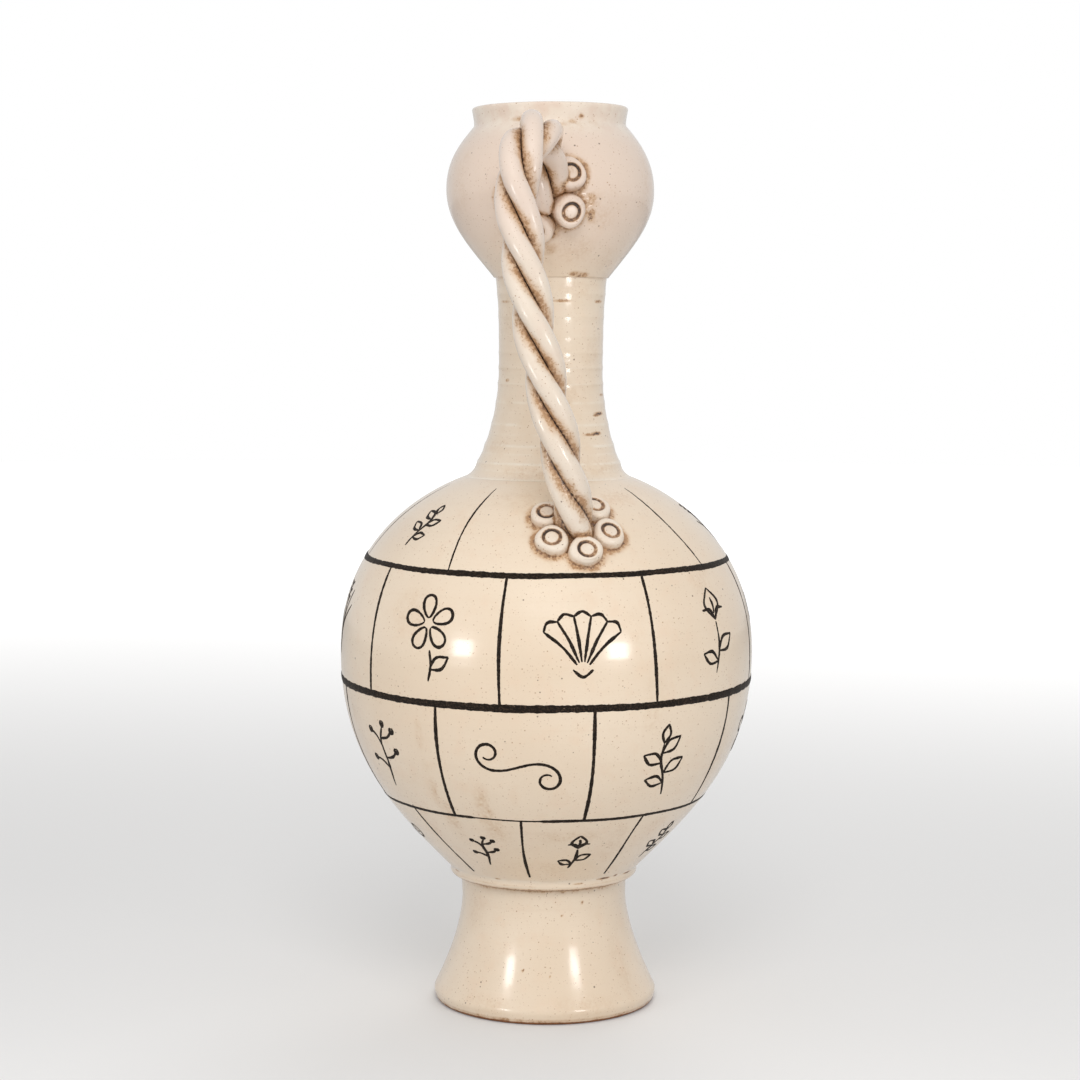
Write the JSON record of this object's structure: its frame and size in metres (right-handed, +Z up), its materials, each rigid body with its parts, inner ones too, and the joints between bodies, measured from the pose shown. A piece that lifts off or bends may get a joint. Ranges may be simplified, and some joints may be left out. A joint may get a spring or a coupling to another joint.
{
  "type": "handled bottle vase",
  "caption": "Footed ball-shaped ceramic bottle with a ringed neck, a bulb mouth and a twisted rope handle ending in stamped bosses.",
  "frame": {"origin": "on the table plane, at the middle of the foot ring", "axes": "+Z up along the bottle's axis; the handle stands over the front, -Y"},
  "size_m": [0.1662, 0.1676, 0.36],
  "materials": {
    "white_glaze": "glossy cream-white glaze over pale slip",
    "rope_glaze": "glossy white glaze with brown stain in the grooves",
    "boss_glaze": "satin white glaze with brown stain in the stamped rings",
    "iron_slip": "brushed iron-black slip under a clear glaze"
  },
  "bodies": {
    "root": {"foot": "white_glaze", "lower_body": "white_glaze", "upper_body": "white_glaze", "neck": "white_glaze", "garlic_mouth": "white_glaze", "rope_coil_1": "rope_glaze", "rope_coil_2": "rope_glaze", "rope_coil_3": "rope_glaze", "shoulder_boss_1": "boss_glaze", "shoulder_boss_2": "boss_glaze", "shoulder_boss_3": "boss_glaze", "shoulder_boss_4": "boss_glaze", "shoulder_boss_5": "boss_glaze", "mouth_boss_1": "boss_glaze", "mouth_boss_2": "boss_glaze", "mouth_boss_3": "boss_glaze", "mouth_boss_4": "boss_glaze", "mouth_boss_5": "boss_glaze"}
  },
  "joints": []
}
